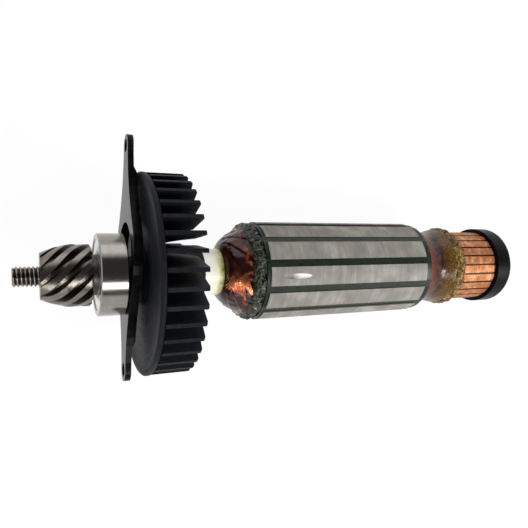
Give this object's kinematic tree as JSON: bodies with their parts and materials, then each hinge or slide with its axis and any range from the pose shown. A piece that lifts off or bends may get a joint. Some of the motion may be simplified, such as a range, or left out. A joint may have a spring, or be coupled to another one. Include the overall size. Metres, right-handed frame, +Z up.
{
  "type": "motor armature",
  "caption": "Wound armature of a power-tool motor: helical pinion, ball bearings, loose retainer plate, bladed fan, slotted core, commutator and rubber-sleeved rear bearing.",
  "frame": {"origin": "middle of the front bearing, on the shaft axis", "axes": "+X along the shaft from the pinion to the commutator, +Y across the shaft towards the upper ear of the retainer, +Z up"},
  "size_m": [0.229, 0.0968, 0.08],
  "materials": {
    "shaft_steel": "satin",
    "pinion_steel": "satin",
    "bearing_steel": "satin",
    "ball_steel": "polished",
    "cage_plastic": "matte",
    "shield_steel": "satin",
    "plate_black": "satin",
    "spacer_steel": "satin",
    "fan_plastic": "satin",
    "sleeve_plastic": "satin",
    "core_steel": "satin",
    "fibre": "matte",
    "liner_film": "matte",
    "wedge_fibre": "satin",
    "winding_copper": "gloss",
    "winding_varnish": "gloss",
    "resin": "gloss",
    "bar_copper": "satin",
    "hub_moulding": "matte",
    "rubber_black": "satin"
  },
  "bodies": {
    "front_bearing_outer": {"front_bearing_outer_ring": "bearing_steel", "front_bearing_shield_front": "shield_steel", "front_bearing_shield_rear": "shield_steel"},
    "rotor": {"shaft": "shaft_steel", "shaft_stud": "shaft_steel", "pinion": "pinion_steel", "pinion_washer": "shaft_steel", "front_bearing_inner_ring": "bearing_steel", "shaft_spacer": "spacer_steel", "fan": "fan_plastic", "insulating_sleeve": "sleeve_plastic", "winding_head_front": "winding_copper", "slot_cuffs": "liner_film", "fibre_ring_front": "fibre", "lamination_core": "core_steel", "slot_liners": "liner_film", "slot_coils": "winding_copper", "slot_wedges": "wedge_fibre", "fibre_ring_rear": "fibre", "winding_head_rear": "winding_varnish", "riser_resin": "resin", "commutator_bars": "bar_copper", "commutator_hub": "hub_moulding", "rear_spacer": "spacer_steel", "rear_bearing_inner_ring": "bearing_steel"},
    "front_bearing_cage": {"front_bearing_balls": "ball_steel", "front_bearing_cage": "cage_plastic"},
    "retainer": {"bearing_retainer": "plate_black"},
    "rear_bearing_outer": {"rear_bearing_outer_ring": "bearing_steel", "rear_bearing_shield_front": "shield_steel", "rear_bearing_shield_rear": "shield_steel", "rear_bearing_sleeve": "rubber_black"},
    "rear_bearing_cage": {"rear_bearing_balls": "ball_steel", "rear_bearing_cage": "cage_plastic"}
  },
  "joints": [
    {"name": "rotor_spin", "type": "hinge", "parent": "front_bearing_outer", "child": "rotor", "pos_m": [0, 0, 0], "axis": [1, 0, 0], "continuous": true},
    {"name": "front_cage_spin", "type": "hinge", "parent": "front_bearing_outer", "child": "front_bearing_cage", "pos_m": [0, 0, 0], "axis": [1, 0, 0], "continuous": true},
    {"name": "retainer_swing", "type": "hinge", "parent": "front_bearing_outer", "child": "retainer", "pos_m": [0, 0, 0], "axis": [1, 0, 0], "continuous": true},
    {"name": "rear_ring_spin", "type": "hinge", "parent": "rotor", "child": "rear_bearing_outer", "pos_m": [0.187, 0, 0], "axis": [1, 0, 0], "continuous": true},
    {"name": "rear_cage_spin", "type": "hinge", "parent": "rotor", "child": "rear_bearing_cage", "pos_m": [0.187, 0, 0], "axis": [1, 0, 0], "continuous": true}
  ],
  "couplings": [
    {"joint": "front_cage_spin", "follows": "rotor_spin", "ratio": 0.3648},
    {"joint": "rear_cage_spin", "follows": "rear_ring_spin", "ratio": 0.6357}
  ]
}
